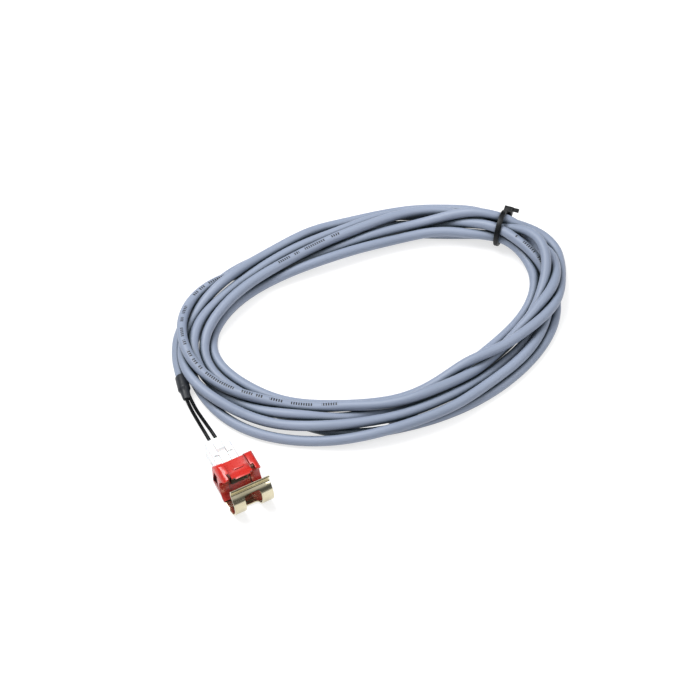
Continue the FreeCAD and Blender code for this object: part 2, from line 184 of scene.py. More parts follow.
# a studio: bright overhead, dimmer towards the walls
wtc = wnt.nodes.new("ShaderNodeTexCoord")
wsep = wnt.nodes.new("ShaderNodeSeparateXYZ")
wnt.links.new(wtc.outputs["Generated"], wsep.inputs[0])
wr = wnt.nodes.new("ShaderNodeValToRGB")
wr.color_ramp.interpolation = "EASE"
wel = wr.color_ramp.elements
wel[0].position, wel[0].color = 0.0, (0.42, 0.42, 0.43, 1)
wel[1].position, wel[1].color = 1.0, (1.0, 1.0, 1.0, 1)
for pos_, val_ in ((0.10, 0.22), (0.34, 0.12), (0.50, 0.18), (0.70, 0.85)):
    e_ = wel.new(pos_)
    e_.color = (val_ * 0.985, val_ * 0.99, val_, 1.0)
wnt.links.new(wsep.outputs[2], wr.inputs["Fac"])
wnt.links.new(wr.outputs[0], wb.inputs["Color"])
wb.inputs["Strength"].default_value = 0.80


def area(name, loc, target, size, power, size_y=None):
    d = bpy.data.lights.new(name, "AREA")
    d.energy = power
    d.size = size
    if size_y:
        d.shape = "RECTANGLE"
        d.size_y = size_y
    o = bpy.data.objects.new(name, d)
    scene.collection.objects.link(o)
    o.location = loc
    o.rotation_euler = (Vector(target) - Vector(loc)).to_track_quat("-Z", "Y").to_euler()
    return o


area("key", (-0.25, 0.60, 1.25), (0.08, 0.05, 0.0), 0.80, 19.0)
area("fill", (0.7, -0.55, 1.0), (0.08, 0.05, 0.0), 0.45, 3.5)


# ---------------------------------------------------------------- mesh helpers
def link(name, me, mat=None, body=None, smooth=None):
    o = bpy.data.objects.new(name, me)
    scene.collection.objects.link(o)
    if mat is not None:
        me.materials.append(mat)
    if smooth is not None:
        for p in me.polygons:
            p.use_smooth = True
        if smooth < 179:
            bpy.context.view_layer.objects.active = o
            for s in bpy.context.selected_objects:
                s.select_set(False)
            o.select_set(True)
            bpy.ops.object.shade_smooth_by_angle(angle=math.radians(smooth))
            o.select_set(False)
    if body:
        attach(o, body)
    return o


def spline_points(pts, res):
    """Points along the order-3 NURBS whose control points are pts (metres)."""
    cu = bpy.data.curves.new("tmp_route", "CURVE")
    cu.dimensions = "3D"
    sp = cu.splines.new("NURBS")
    sp.points.add(len(pts) - 1)
    for p, q in zip(sp.points, pts):
        p.co = (q[0], q[1], q[2], 1.0)
    sp.order_u = 3
    sp.use_endpoint_u = True
    sp.resolution_u = res
    cu.resolution_u = res
    ob = bpy.data.objects.new("tmp_route", cu)
    scene.collection.objects.link(ob)
    dg = bpy.context.evaluated_depsgraph_get()
    dg.update()
    me = bpy.data.meshes.new_from_object(ob.evaluated_get(dg))
    out = [v.co.copy() for v in me.vertices]
    bpy.data.objects.remove(ob)
    bpy.data.meshes.remove(me)
    clean = [out[0]]
    for v in out[1:]:
        if (v - clean[-1]).length > 2e-5:
            clean.append(v)
    return clean


def tube_mesh(name, line, radius, sides=20, uv=True, rad_fn=None, cap=True):
    """Round tube along line; its UV is (length along in metres, turn fraction from the top)."""
    me = bpy.data.meshes.new(name)
    verts, faces, uvs = [], [], []
    s = [0.0]
    for a, b in zip(line[:-1], line[1:]):
        s.append(s[-1] + (b - a).length)
    n = len(line)
    for i, p in enumerate(line):
        t = (line[min(n - 1, i + 1)] - line[max(0, i - 1)]).normalized()
        side = t.cross(Vector((0, 0, 1)))
        side.normalize()
        upv = side.cross(t)
        for k in range(sides):
            a = 2 * math.pi * k / sides
            r = radius if rad_fn is None else rad_fn(s[i], a)
            verts.append(p + (upv * math.cos(a) + side * math.sin(a)) * r)
    for i in range(n - 1):
        for k in range(sides):
            k2 = (k + 1) % sides
            faces.append((i * sides + k, i * sides + k2, (i + 1) * sides + k2, (i + 1) * sides + k))
            uvs += [(s[i], k / sides), (s[i], (k + 1) / sides), (s[i + 1], (k + 1) / sides), (s[i + 1], k / sides)]
    if cap:
        faces.append(tuple(range(sides))[::-1])
        uvs += [(s[0], 0.5)] * sides
        faces.append(tuple((n - 1) * sides + k for k in range(sides)))
        uvs += [(s[-1], 0.5)] * sides
    me.from_pydata(verts, [], faces)
    if uv:
        lay = me.uv_layers.new(name="along")
        lay.data.foreach_set("uv", [c for q in uvs for c in q])
    bm = bmesh.new()
    bm.from_mesh(me)
    bmesh.ops.recalc_face_normals(bm, faces=bm.faces)
    bm.to_mesh(me)
    bm.free()
    for p in me.polygons:
        p.use_smooth = True
    me.validate()
    return me, s[-1]


def from_cad(name, cad_node, mat, body, width=0.15, segs=3, angle=32.0, crease=25.0):
    """A new piece with a CAD node's shape, its edges rounded as moulding leaves them."""
    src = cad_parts[cad_node].data
    bm = bmesh.new()
    bm.from_mesh(src)
    bmesh.ops.remove_doubles(bm, verts=bm.verts, dist=2e-7)
    bmesh.ops.dissolve_limit(bm, angle_limit=math.radians(1.5), verts=bm.verts, edges=bm.edges)
    bmesh.ops.recalc_face_normals(bm, faces=bm.faces)
    me = bpy.data.meshes.new(name)
    bm.to_mesh(me)
    bm.free()
    o = link(name, me, mat, None)
    if width:
        bv = o.modifiers.new("edges", "BEVEL")
        bv.width = width * MM
        bv.segments = segs
        bv.limit_method = "ANGLE"
        bv.angle_limit = math.radians(angle)
        bv.use_clamp_overlap = True
        bv.harden_normals = False
        bv.miter_outer = "MITER_ARC"
    bpy.context.view_layer.update()
    dg = bpy.context.evaluated_depsgraph_get()
    me2 = bpy.data.meshes.new_from_object(o.evaluated_get(dg))
    o.modifiers.clear()
    o.data = me2
    if not me2.materials:
        me2.materials.append(mat)
    for p in me2.polygons:
        p.use_smooth = True
    bpy.context.view_layer.objects.active = o
    o.select_set(True)
    bpy.ops.object.shade_smooth_by_angle(angle=math.radians(crease))
    o.select_set(False)
    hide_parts(cad_node)
    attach(o, body)
    return o


# ---------------------------------------------------------------- materials
def plastic(name, base, dark, rough=0.32, grain=900.0, bump_s=0.12, coat=0.15, sss=0.0, shade_colour=None):
    m, nt, b = new_mat(name)
    v = coords(nt)
    n1 = noise_tex(nt, v, 55.0, 2.0)
    n2 = noise_tex(nt, v, grain, 3.0, 0.6)
    col = mix_col(nt, maprange(nt, n1.outputs["Fac"], 0.35, 0.7, 0.0, 1.0), base, dark)
    # convex edges of a moulding are made slightly paler
    geo = node(nt, "ShaderNodeNewGeometry")
    edge = maprange(nt, geo.outputs["Pointiness"], 0.53, 0.62, 0.0, 0.30)
    pale = tuple(min(1.0, c * 1.25 + 0.03) for c in base)
    col = mix_col(nt, edge, col, pale)
    if shade_colour is not None:
        # painted shade: the hollows of the moulding are darkened towards a deep colour where the ambient occlusion is
        # low
        ao = node(nt, "ShaderNodeAmbientOcclusion", samples=6)
        ao.inputs["Distance"].default_value = 0.016
        col = mix_col(nt, maprange(nt, ao.outputs["AO"], 0.34, 0.82, 0.0, 1.0), shade_colour, col)
    nt.links.new(col, b.inputs["Base Color"])
    nt.links.new(maprange(nt, n2.outputs["Fac"], 0.3, 0.7, rough - 0.05, rough + 0.07), b.inputs["Roughness"])
    b.inputs["Coat Weight"].default_value = coat
    b.inputs["Coat Roughness"].default_value = 0.18
    b.inputs["Subsurface Weight"].default_value = sss
    b.inputs["Subsurface Radius"].default_value = (0.4, 0.25, 0.2)
    b.inputs["Subsurface Scale"].default_value = 0.002
    bump(nt, b, n2.outputs["Fac"], bump_s, 0.00004)
    return m


def metal(name, base, tint, rough=0.26, brush=(1.0, 30.0, 1.0), aniso=0.35):
    m, nt, b = new_mat(name)
    v = coords(nt)
    mp = node(nt, "ShaderNodeMapping")
    nt.links.new(v, mp.inputs["Vector"])
    mp.inputs["Scale"].default_value = brush
    n1 = noise_tex(nt, mp.outputs[0], 90.0, 4.0, 0.6)
    n2 = noise_tex(nt, v, 130.0, 3.0, 0.55, 0.4)
    n3 = noise_tex(nt, v, 2400.0, 2.0, 0.5)
    col = mix_col(nt, maprange(nt, n2.outputs["Fac"], 0.35, 0.68, 0.0, 1.0), base, tint)
    nt.links.new(col, b.inputs["Base Color"])
    b.inputs["Metallic"].default_value = 1.0
    nt.links.new(maprange(nt, n1.outputs["Fac"], 0.25, 0.75, rough - 0.07, rough + 0.12), b.inputs["Roughness"])
    b.inputs["Anisotropic"].default_value = aniso
    h = math_node(nt, "ADD", n1.outputs["Fac"], n3.outputs["Fac"])
    bump(nt, b, h, 0.10, 0.00003)
    return m


def simple_skin(name, base, dark, rough, coat=0.0, scale=300.0, bump_s=0.1, spec=0.5):
    m, nt, b = new_mat(name)
    v = coords(nt)
    n1 = noise_tex(nt, v, scale, 3.0)
    n2 = noise_tex(nt, v, scale * 5, 2.0)
    nt.links.new(mix_col(nt, maprange(nt, n1.outputs["Fac"], 0.35, 0.7, 0.0, 1.0), base, dark), b.inputs["Base Color"])
    nt.links.new(maprange(nt, n2.outputs["Fac"], 0.3, 0.7, rough - 0.04, rough + 0.06), b.inputs["Roughness"])
    b.inputs["Specular IOR Level"].default_value = spec
    b.inputs["Coat Weight"].default_value = coat
    b.inputs["Coat Roughness"].default_value = 0.1
    bump(nt, b, n2.outputs["Fac"], bump_s, 0.00005)
    return m


# the last colour given here is painted shade for the moulding's hollows
M_RED = plastic("red_moulding", (0.60, 0.024, 0.014), (0.50, 0.015, 0.010), rough=0.28, coat=0.30, sss=0.0, shade_colour=(0.055, 0.002, 0.002))
M_WHITE = plastic("white_moulding", (0.86, 0.87, 0.88), (0.80, 0.81, 0.83), rough=0.36, coat=0.1, sss=0.15)
M_CLIP = metal("clip_sheet", (0.68, 0.63, 0.46), (0.57, 0.51, 0.35), rough=0.15)
M_SHOE = metal("shoe_sheet", (0.085, 0.065, 0.055), (0.06, 0.05, 0.045), rough=0.38)
M_TIN = metal("tinned", (0.80, 0.80, 0.78), (0.70, 0.70, 0.68), rough=0.25)
M_BEAD = simple_skin("bead_skin", (0.02, 0.02, 0.022), (0.035, 0.03, 0.03), 0.2, 0.3, 900.0)
M_POT = simple_skin("potting_resin", (0.03, 0.03, 0.033), (0.05, 0.05, 0.052), 0.45, 0.0, 700.0)
M_CORE = simple_skin("core_skin", (0.002, 0.0024, 0.003), (0.004, 0.005, 0.006), 0.12, 0.0, 500.0, 0.04, 0.18)
M_TIE = simple_skin("tie_nylon", (0.004, 0.005, 0.006), (0.010, 0.011, 0.012), 0.34, 0.0, 400.0, 0.1, 0.25)
M_FER = simple_skin("ferrule_collar", (0.20, 0.21, 0.23), (0.16, 0.17, 0.19), 0.4, 0.0, 500.0)


# ---------------------------------------------------------------- the cable
CABLE_D = 4.8
LEAD = [(-0.46, 61.6, 3.6), (1.05, 67.9, 3.1), (2.35, 74.0, 2.75), (4.30, 80.9, 2.42)]
COIL = [
    (4.74, 82.66, 2.42), (9.12, 90.55, 2.44), (15.39, 97.07, 2.42), (22.58, 102.53, 2.42), (30.21, 107.32, 2.42), (38.21, 111.50, 2.42),
    (46.71, 114.55, 2.42), (55.61, 116.07, 2.42), (64.63, 116.39, 2.42), (73.63, 116.07, 2.42), (82.61, 115.32, 2.42), (91.57, 114.32, 2.42),
    (100.52, 113.27, 2.42), (109.44, 111.97, 2.42), (118.23, 109.98, 2.42), (126.80, 107.17, 2.43), (135.14, 103.74, 2.42), (143.26, 99.81, 2.54),
    (150.88, 95.14, 3.88), (157.54, 89.67, 6.59), (163.51, 83.76, 9.86), (169.42, 77.36, 12.28), (174.73, 70.04, 12.76), (177.99, 61.60, 12.59),
    (180.58, 52.98, 11.88), (181.96, 44.31, 9.61), (180.48, 35.74, 6.97), (176.44, 27.68, 5.91), (171.00, 20.46, 5.87), (164.68, 14.04, 6.28),
    (157.54, 8.52, 6.70), (149.61, 4.21, 6.84), (141.14, 1.10, 6.78), (132.43, -1.24, 6.82), (123.68, -3.33, 7.17), (114.91, -5.36, 7.63),
    (106.01, -6.81, 7.88), (96.99, -6.99, 7.77), (88.00, -6.39, 7.45), (79.05, -5.37, 7.11), (70.17, -3.85, 6.74), (61.44, -1.69, 6.07),
    (53.06, 1.42, 4.84), (45.09, 5.42, 3.48), (37.34, 9.95, 2.62), (29.85, 14.95, 2.42), (22.86, 20.66, 2.42), (16.71, 27.28, 2.42),
    (11.76, 34.84, 2.42), (8.30, 43.18, 2.42), (6.35, 52.00, 2.42), (5.75, 61.02, 2.42), (6.76, 70.01, 2.42), (10.00, 78.47, 2.42),
    (15.24, 85.85, 2.42), (21.85, 92.01, 2.42), (29.40, 96.98, 2.42), (37.57, 100.80, 2.42), (46.17, 103.55, 2.42), (55.03, 105.22, 2.42),
    (64.04, 105.82, 2.42), (73.05, 105.50, 2.57), (82.01, 104.77, 3.20), (90.94, 103.98, 4.02), (99.89, 103.27, 4.83), (108.83, 102.50, 5.70),
    (117.72, 101.34, 6.60), (126.54, 99.63, 7.26), (135.34, 97.70, 7.59), (144.05, 95.46, 8.32), (152.45, 92.79, 10.22), (160.49, 89.51, 12.72),
    (168.12, 84.96, 14.41), (175.05, 79.15, 14.16), (181.73, 73.25, 12.42), (186.21, 66.10, 8.99), (186.77, 57.61, 5.70), (186.02, 48.86, 3.61),
    (184.48, 40.03, 2.57), (181.94, 31.36, 2.42), (178.03, 23.21, 2.42), (172.43, 16.11, 2.42), (165.59, 10.21, 2.42), (157.93, 5.43, 2.42),
    (149.79, 1.54, 2.42), (141.33, -1.56, 2.42), (132.63, -3.93, 2.42), (123.76, -5.57, 2.42), (114.79, -6.49, 2.42), (105.78, -6.66, 2.42),
    (96.78, -6.12, 2.42), (87.84, -4.92, 2.42), (79.00, -3.17, 2.42), (70.28, -0.90, 2.42), (61.81, 2.23, 2.42), (53.87, 6.51, 2.42),
    (46.64, 11.93, 2.42), (40.35, 18.41, 2.42), (35.14, 25.77, 2.42), (30.52, 33.51, 2.42), (26.06, 41.34, 2.42), (21.69, 49.22, 2.42),
    (17.84, 57.38, 2.42), (15.39, 66.09, 3.05), (15.78, 75.06, 4.83), (20.19, 82.73, 7.10), (27.08, 88.38, 8.83), (34.86, 92.85, 9.81),
    (43.05, 96.63, 9.99), (51.55, 99.64, 9.74), (60.28, 101.85, 9.38), (69.13, 103.52, 9.04), (78.05, 104.82, 8.79), (87.02, 105.69, 8.82),
    (96.02, 106.05, 9.17), (105.01, 105.89, 9.68), (114.00, 105.46, 10.12), (123.01, 105.04, 10.26), (132.00, 104.54, 9.99), (140.94, 103.57, 9.31),
    (149.69, 101.43, 8.51), (157.73, 97.29, 7.89), (164.21, 90.97, 7.40), (169.30, 83.51, 7.34), (174.51, 76.21, 8.49), (179.66, 69.51, 11.66),
    (183.86, 62.38, 15.44), (185.77, 53.54, 16.90), (184.10, 44.65, 15.41), (179.61, 37.25, 12.65), (173.79, 30.96, 9.80), (167.14, 25.32, 7.47),
    (159.72, 20.57, 5.53), (151.75, 16.70, 3.82), (143.31, 13.72, 2.69), (134.67, 11.16, 2.42), (126.05, 8.53, 2.52), (117.55, 5.81, 3.82),
    (109.04, 3.69, 5.99), (100.17, 2.99, 7.65), (91.17, 4.02, 7.28), (82.71, 6.36, 5.09), (74.44, 9.25, 2.93), (65.79, 11.72, 2.42),
    (57.03, 13.74, 3.14), (48.78, 16.50, 5.56), (40.87, 20.34, 7.70), (33.31, 25.34, 7.66), (26.92, 31.46, 5.72), (21.71, 38.55, 3.71),
    (17.22, 46.31, 2.64), (13.43, 54.52, 2.91), (10.91, 63.06, 4.47), (10.49, 71.90, 6.48), (12.89, 80.56, 7.91), (18.09, 88.00, 8.54),
    (25.24, 93.57, 8.52), (33.27, 97.68, 8.17), (41.53, 101.27, 7.89), (50.06, 104.19, 7.73), (58.79, 106.43, 7.70), (67.59, 108.37, 7.80),
    (76.49, 109.83, 7.80), (85.45, 110.75, 7.58), (94.46, 111.00, 7.25), (103.47, 110.69, 7.24), (112.46, 110.19, 7.60), (121.46, 109.74, 7.69),
    (130.40, 108.94, 6.74), (139.03, 106.89, 5.03), (147.23, 103.42, 3.51), (155.08, 99.08, 2.59), (162.58, 94.07, 2.42), (169.38, 88.12, 2.66),
    (174.91, 81.12, 4.05), (180.23, 73.85, 4.55), (186.14, 67.18, 3.01), (191.32, 59.61, 2.66), (191.63, 50.79, 5.30), (188.68, 42.74, 8.30),
    (184.36, 35.23, 10.89), (178.32, 28.70, 12.69), (170.63, 23.89, 12.89), (162.48, 20.27, 11.45), (154.33, 16.94, 9.52), (146.05, 13.68, 8.07),
    (137.61, 10.62, 7.27), (129.07, 7.70, 7.27), (120.51, 5.13, 8.52), (111.95, 3.35, 10.71), (103.15, 2.36, 12.52), (94.10, 2.45, 12.70),
    (85.32, 4.12, 11.25), (77.13, 7.34, 9.20), (69.36, 11.63, 7.62), (61.64, 16.19, 6.69), (53.61, 20.23, 5.97), (45.50, 24.18, 5.81),
    (37.84, 28.89, 6.53), (30.85, 34.51, 7.50), (24.30, 40.71, 7.76), (18.24, 47.39, 7.72), (13.06, 54.76, 8.30), (9.36, 62.92, 9.59),
    (7.76, 71.75, 10.86), (8.45, 80.78, 11.39), (11.27, 89.37, 10.87), (15.85, 97.10, 9.68), (22.16, 103.49, 8.46), (30.10, 107.84, 7.79),
    (38.89, 109.92, 7.28), (47.77, 110.70, 5.85), (56.58, 111.03, 3.98), (65.51, 111.08, 2.72), (74.51, 110.71, 2.42), (83.49, 109.90, 2.42),
    (92.44, 108.89, 2.42), (101.39, 107.85, 2.42), (110.30, 106.45, 2.42), (119.06, 104.30, 2.42), (127.58, 101.36, 2.42), (135.83, 97.72, 2.42),
    (143.77, 93.45, 2.43), (151.59, 88.97, 2.42), (159.49, 84.64, 2.55), (167.16, 79.96, 3.32), (174.11, 74.20, 4.05), (179.48, 66.88, 3.38),
    (181.71, 58.11, 2.48), (181.20, 49.05, 2.42), (179.14, 40.25, 2.43), (175.16, 32.13, 2.42), (169.78, 24.88, 2.42), (163.54, 18.34, 2.42),
    (156.12, 13.19, 2.42), (147.81, 9.63, 2.42), (139.20, 6.96, 2.51), (130.57, 4.42, 3.10), (122.09, 1.77, 4.62), (113.61, -0.32, 6.88),
    (104.83, -1.61, 8.57), (95.81, -1.88, 8.89), (86.84, -1.11, 8.20), (78.00, 0.52, 7.47), (69.28, 2.80, 7.24), (60.67, 5.46, 7.38),
    (52.20, 8.54, 7.59), (44.03, 12.36, 7.37), (36.34, 17.00, 6.54), (29.16, 22.39, 5.63), (22.65, 28.62, 5.26), (16.88, 35.55, 5.71),
    (11.75, 42.90, 6.73), (7.50, 50.82, 7.62), (4.69, 59.42, 7.69), (3.98, 68.44, 7.15), (5.83, 77.30, 6.49), (10.06, 85.30, 5.93),
    (15.95, 92.17, 5.65), (22.87, 97.94, 6.37), (30.51, 102.31, 8.42), (38.83, 105.30, 10.32), (47.45, 107.95, 10.65), (55.96, 110.69, 9.41),
    (64.55, 113.01, 7.90), (73.41, 114.65, 7.46), (82.35, 115.82, 7.60), (91.26, 117.02, 6.92), (100.08, 117.80, 5.20), (108.92, 117.59, 3.38),
    (117.83, 116.52, 2.50), (126.68, 114.81, 2.42), (135.44, 112.68, 2.43), (144.09, 110.14, 2.42), (152.44, 106.72, 2.42), (160.24, 102.17, 2.91),
    (166.91, 96.41, 5.00), (171.91, 89.48, 7.97), (176.43, 81.77, 9.54), (182.67, 75.28, 8.43), (189.67, 70.07, 6.06), (195.49, 63.45, 3.55),
    (197.08, 54.48, 2.42), (193.97, 45.86, 2.68), (189.55, 38.21, 4.52), (184.66, 31.03, 6.94), (179.00, 24.37, 9.22), (172.00, 18.90, 10.97),
    (163.83, 15.13, 11.89), (155.19, 12.54, 12.16), (146.41, 10.50, 12.19), (137.48, 9.23, 12.38), (128.45, 9.25, 12.50), (119.51, 9.67, 11.35),
    (110.90, 9.30, 8.65), (102.36, 9.19, 5.77), (93.64, 9.90, 3.55), (84.82, 11.50, 2.49), (76.15, 14.00, 2.42), (67.75, 17.29, 2.43),
    (59.60, 21.14, 2.42), (51.63, 25.35, 2.42), (43.95, 30.07, 2.42), (37.04, 35.89, 2.42), (31.31, 42.87, 2.42), (26.61, 50.58, 2.42),
    (22.82, 58.77, 2.42), (20.46, 67.51, 2.42), (20.80, 76.63, 2.42), (25.01, 84.73, 2.42), (31.71, 90.86, 2.42), (39.49, 95.46, 2.42),
    (47.96, 98.62, 2.53), (56.83, 100.23, 3.09), (65.80, 100.66, 3.92), (74.77, 100.45, 4.77), (83.72, 99.74, 5.52), (92.68, 98.83, 6.00),
    (101.65, 98.01, 6.08), (110.62, 97.11, 5.85), (119.53, 95.81, 5.59), (128.38, 94.12, 5.62), (137.14, 92.01, 6.11), (145.70, 89.27, 6.92),
    (153.70, 85.13, 7.42), (161.06, 79.91, 7.36), (168.41, 74.69, 7.56), (175.01, 68.43, 7.79), (178.28, 59.93, 7.15), (178.60, 50.87, 6.62),
    (176.69, 41.98, 6.68), (171.94, 34.28, 5.75), (165.09, 28.63, 3.85), (157.20, 24.42, 2.58), (148.85, 21.00, 2.42), (140.31, 18.12, 2.42),
    (131.67, 15.58, 2.42), (123.04, 12.97, 2.42), (114.52, 10.04, 2.42), (106.15, 6.69, 2.42), (97.72, 3.52, 2.42),
]
cable_pts = [Vector(p) * MM for p in LEAD + COIL[1:]]
cable_line = spline_points(cable_pts, 4)

INK = [(1.7832, 1.8486), (1.8508, 1.8925), (1.897, 1.924), (1.0219, 1.0568), (0.2277, 0.248)]          # (from, to) in metres along the cable, where the printing shows


def cable_material():
    m, nt, b = new_mat("cable_jacket")
    v = coords(nt)
    n1 = noise_tex(nt, v, 18.0, 2.0)
    n2 = noise_tex(nt, v, 1500.0, 2.0, 0.6)
    base = mix_col(nt, maprange(nt, n1.outputs["Fac"], 0.35, 0.68, 0.0, 1.0), (0.268, 0.314, 0.416), (0.228, 0.272, 0.364))
    uv = node(nt, "ShaderNodeUVMap", uv_map="along")
    sep = node(nt, "ShaderNodeSeparateXYZ")
    nt.links.new(uv.outputs[0], sep.inputs[0])
    u, w = sep.outputs[0], sep.outputs[1]
    # plain ink marks, a run of short strokes that means nothing
    pulse = math_node(nt, "FRACT", math_node(nt, "MULTIPLY", u, 860.0))
    stroke = math_node(nt, "LESS_THAN", pulse, 0.58)
    gaps = node(nt, "ShaderNodeTexNoise", noise_dimensions="1D")
    nt.links.new(math_node(nt, "MULTIPLY", u, 210.0), gaps.inputs["W"])
    gaps.inputs["Scale"].default_value = 1.0
    gaps.inputs["Detail"].default_value = 0.0
    word = math_node(nt, "GREATER_THAN", gaps.outputs[0], 0.42)
    # a band of them a little to one side of the top
    turn = math_node(nt, "FRACT", math_node(nt, "ADD", w, 0.5))
    off = math_node(nt, "ABSOLUTE", math_node(nt, "SUBTRACT", turn, 0.5))
    band = math_node(nt, "LESS_THAN", off, 0.050)
    zone = None
    for a, c in INK:
        inside = math_node(nt, "MULTIPLY", math_node(nt, "GREATER_THAN", u, a), math_node(nt, "LESS_THAN", u, c))
        zone = inside if zone is None else math_node(nt, "MAXIMUM", zone, inside)
    ink = math_node(nt, "MULTIPLY", math_node(nt, "MULTIPLY", stroke, word), math_node(nt, "MULTIPLY", band, zone))
    # painted shade: the jacket is darkened to a dark teal where two turns touch
    ao = node(nt, "ShaderNodeAmbientOcclusion", samples=6)
    ao.inputs["Distance"].default_value = 0.0045
    crevice_shade = maprange(nt, ao.outputs["AO"], 0.30, 0.86, 0.0, 1.0)
    base = mix_col(nt, crevice_shade, (0.018, 0.034, 0.044), base)
    nt.links.new(mix_col(nt, math_node(nt, "MULTIPLY", ink, 0.96), base, (0.008, 0.009, 0.012)), b.inputs["Base Color"])
    nt.links.new(maprange(nt, n2.outputs["Fac"], 0.3, 0.7, 0.46, 0.54), b.inputs["Roughness"])
    b.inputs["Specular IOR Level"].default_value = 0.42
    b.inputs["Coat Weight"].default_value = 0.06
    b.inputs["Coat Roughness"].default_value = 0.3
    h = mix_col(nt, 0.5, n2.outputs["Color"], noise_tex(nt, v, 240.0, 2.0).outputs["Color"])
    bump(nt, b, h, 0.10, 0.00006)
    return m


M_CABLE = cable_material()
cable_me, cable_len = tube_mesh("cable", cable_line, CABLE_D / 2 * MM, 22)
cable = link("cable", cable_me, M_CABLE)
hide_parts("cable_coil", "cable_lead")
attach(cable, "lead")

for nm in ("end_cores", "end_ferrules"):
    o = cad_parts[nm]
    o.data.materials.clear()
    o.data.materials.append(M_CORE if nm == "end_cores" else M_FER)
    for p in o.data.polygons:
        p.use_smooth = True

# ---------------------------------------------------------------- the two cores
LEFT = [(-3.3, 16.6, 8.2), (-3.3, 28.2, 8.2), (-3.2, 39.8, 6.85), (-2.75, 51.2, 4.95), (-1.33, 61.2, 3.62)]
RIGHT = [(-0.1, 16.6, 8.2), (-0.1, 28.0, 8.2), (-0.7, 39.4, 6.8), (-0.95, 50.8, 4.9), (0.41, 61.0, 3.62)]
for nm, pts, cadn in (("core_wire_left", LEFT, "core_left"), ("core_wire_right", RIGHT, "core_right")):
    cu = bpy.data.curves.new(nm, "CURVE")
    cu.dimensions = "3D"
    sp = cu.splines.new("NURBS")
    sp.points.add(len(pts) - 1)
    for p, q in zip(sp.points, pts):
        p.co = (q[0] * MM, q[1] * MM, q[2] * MM, 1.0)
    sp.order_u = 3
    sp.use_endpoint_u = True
    sp.resolution_u = 16
    cu.resolution_u = 16
    cu.bevel_depth = 0.85 * MM
    cu.bevel_resolution = 5
    cu.use_fill_caps = True
    cu.materials.append(M_CORE)
    o = bpy.data.objects.new(nm, cu)
    scene.collection.objects.link(o)
    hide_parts(cadn)
    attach(o, "lead")

# ---------------------------------------------------------------- shrunk sleeve where the cores leave the jacket
def sleeve_mesh():
    secs = [((-1.63, 55.6, 4.28), 1.80, 1.15), ((-1.60, 55.8, 4.25), 1.95, 1.35), ((-1.42, 56.9, 4.1), 2.08, 1.50),
            ((-1.15, 58.3, 3.95), 2.12, 1.60), ((-0.90, 59.6, 3.82), 2.22, 1.80), ((-0.72, 60.5, 3.73), 2.36, 2.12),
            ((-0.58, 61.1, 3.67), 2.62, 2.50), ((-0.48, 61.5, 3.62), 2.86, 2.82), ((-0.44, 61.8, 3.59), 2.95, 2.93),
            ((0.22, 64.6, 3.36), 2.93, 2.93), ((0.95, 67.6, 3.16), 2.95, 2.95), ((1.24, 68.85, 3.04), 2.93, 2.93),
            ((1.29, 69.05, 3.02), 2.86, 2.86), ((1.30, 69.10, 3.02), 2.70, 2.70), ((1.25, 68.9, 3.04), 2.62, 2.62)]
    ax = Vector((0.19, 0.98, -0.08)).normalized()
    side = Vector((0.98, -0.2, 0.0))
    side = (side - ax * side.dot(ax)).normalized()
    upv = ax.cross(side)
    N = 40
    verts, faces = [], []
    c0 = Vector((-1.6, 56.6, 4.2))
    dense = []
    for (ca, ra, rb), (cb, sa, sb) in zip(secs[:-1], secs[1:]):
        steps = max(1, int((Vector(cb) - Vector(ca)).length / 0.35))
        for k in range(steps):
            t = k / steps
            dense.append((Vector(ca).lerp(Vector(cb), t), ra + (sa - ra) * t, rb + (sb - rb) * t))
    dense.append((Vector(secs[-1][0]), secs[-1][1], secs[-1][2]))
    for j, (c, ra, rb) in enumerate(dense):
        for k in range(N):
            a = 2 * math.pi * k / N
            # the tube shrinks onto two round cores, so its narrow end is pinched between them
            pinch = max(0.0, 1.0 - (j / len(dense)) * 3.0)
            rr = 1.0 - 0.10 * pinch * (math.cos(2 * a) < 0) * abs(math.cos(2 * a))
            wob = 1.0 + 0.016 * noise.noise(Vector((math.cos(a) * 2, math.sin(a) * 2, j * 0.35)))
            verts.append((c + side * math.cos(a) * ra * rr * wob + upv * math.sin(a) * rb * rr * wob) * MM)
    for j in range(len(dense) - 1):
        for k in range(N):
            k2 = (k + 1) % N
            faces.append((j * N + k, (j + 1) * N + k, (j + 1) * N + k2, j * N + k2))
    verts.append(dense[0][0] * MM + ax * 0.35 * MM)
    for k in range(N):
        faces.append((k, (k + 1) % N, len(verts) - 1))
    me = bpy.data.meshes.new("sleeve")
    me.from_pydata(verts, [], faces)
    bm = bmesh.new()
    bm.from_mesh(me)
    bmesh.ops.recalc_face_normals(bm, faces=bm.faces)
    bm.to_mesh(me)
    bm.free()
    return me


def sleeve_material():
    m, nt, b = new_mat("sleeve_skin")
    v = coords(nt)
    n1 = noise_tex(nt, v, 260.0, 3.0)
    n2 = noise_tex(nt, v, 1800.0, 2.0)
    mp = node(nt, "ShaderNodeMapping")
    nt.links.new(v, mp.inputs["Vector"])
    mp.inputs["Scale"].default_value = (500.0, 120.0, 500.0)
    n3 = noise_tex(nt, mp.outputs[0], 1.0, 2.0)
    nt.links.new(mix_col(nt, maprange(nt, n1.outputs["Fac"], 0.3, 0.7, 0.0, 1.0), (0.012, 0.014, 0.018), (0.026, 0.030, 0.038)),
                 b.inputs["Base Color"])
    nt.links.new(maprange(nt, n2.outputs["Fac"], 0.3, 0.7, 0.36, 0.52), b.inputs["Roughness"])
    b.inputs["Specular IOR Level"].default_value = 0.32
    bump(nt, b, math_node(nt, "ADD", n3.outputs["Fac"], n1.outputs["Fac"]), 0.25, 0.00008)
    return m


sleeve = link("sleeve_tube", sleeve_mesh(), sleeve_material(), None, 40)
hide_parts("sleeve")
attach(sleeve, "lead")

